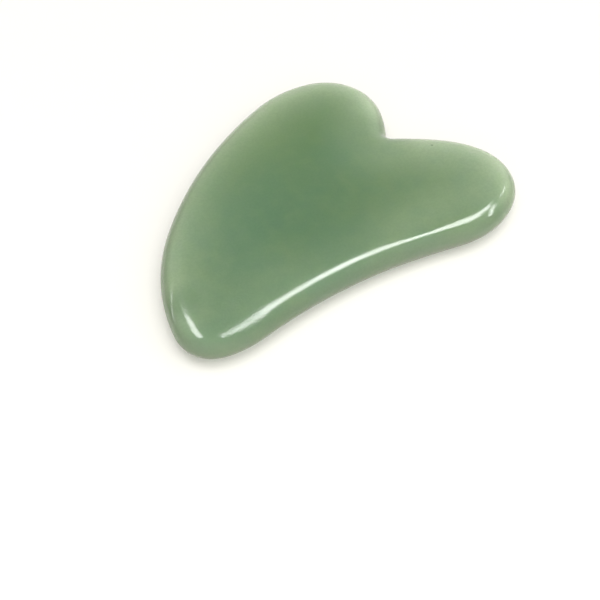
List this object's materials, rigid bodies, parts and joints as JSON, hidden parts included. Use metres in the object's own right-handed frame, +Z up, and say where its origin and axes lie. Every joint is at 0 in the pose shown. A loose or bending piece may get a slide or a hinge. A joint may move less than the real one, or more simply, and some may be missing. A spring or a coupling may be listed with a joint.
{
  "type": "gua sha scraper",
  "caption": "Heart-shaped stone massage scraper: a thin polished plate with a rounded edge, a hollow scraping side, a narrow point and a notch between lobes.",
  "frame": {"origin": "centre of the bounding box, on the flat underside that the stone rests on", "axes": "+X along the long side, from the point of the heart to the lobes; +Y from the hollow scraping edge to the large lobe; +Z up, through the thickness"},
  "size_m": [0.0821, 0.0579, 0.007],
  "materials": {
    "polished_stone": "polished, translucent green"
  },
  "bodies": {
    "root": {"scraper_stone": "polished_stone"}
  },
  "joints": []
}
